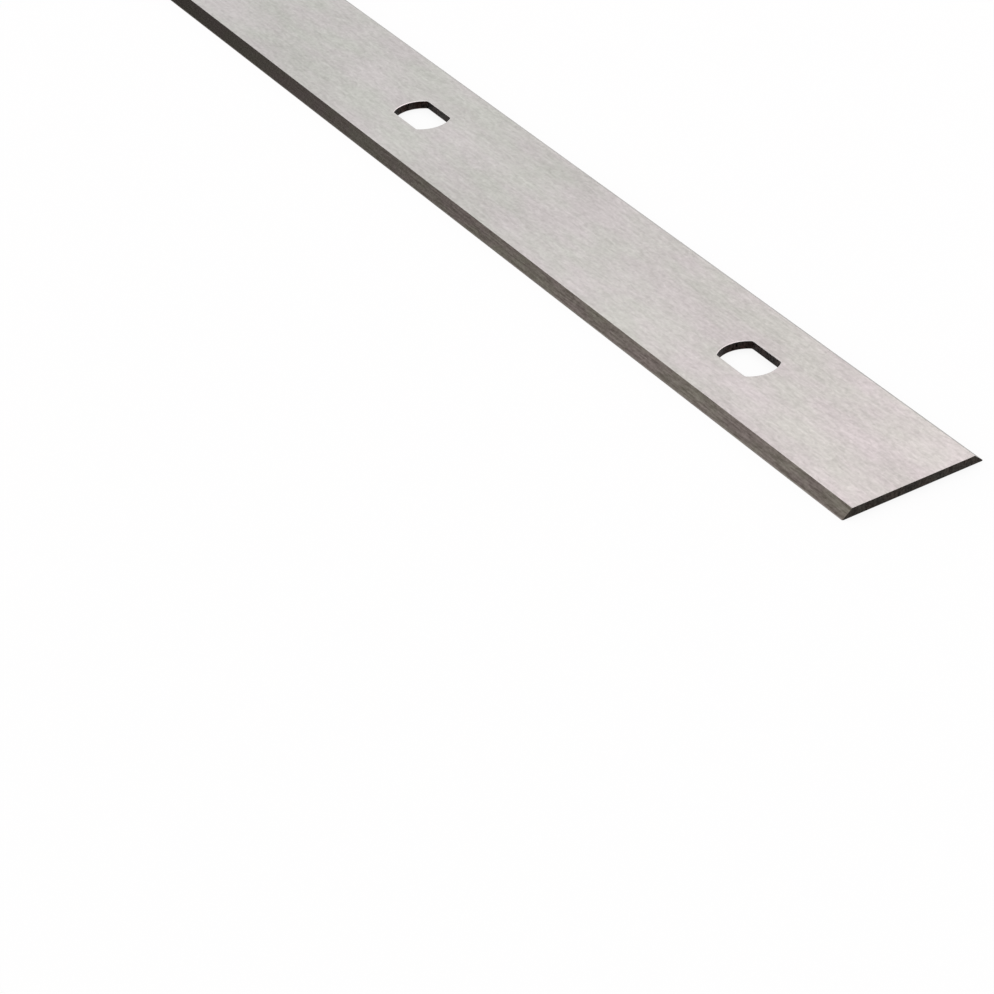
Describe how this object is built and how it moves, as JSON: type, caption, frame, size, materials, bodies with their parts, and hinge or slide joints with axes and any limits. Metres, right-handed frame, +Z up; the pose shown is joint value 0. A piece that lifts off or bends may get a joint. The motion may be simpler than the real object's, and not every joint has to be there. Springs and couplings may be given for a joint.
{
  "type": "planer knife",
  "caption": "Thin reversible planer knife: a flat steel strip bevelled along both long sides, with a row of flat-sided locating holes down its middle.",
  "frame": {"origin": "middle of the wide back face that the knife lies on", "axes": "+X along the length, +Y across from one cutting edge to the other, +Z up through the thickness, from the back face to the narrower front face"},
  "size_m": [0.333, 0.0198, 0.0012],
  "materials": {
    "tool_steel": "ground, with fine short streaks; darker ground bevels"
  },
  "bodies": {
    "root": {"planer_knife": "tool_steel"}
  },
  "joints": []
}
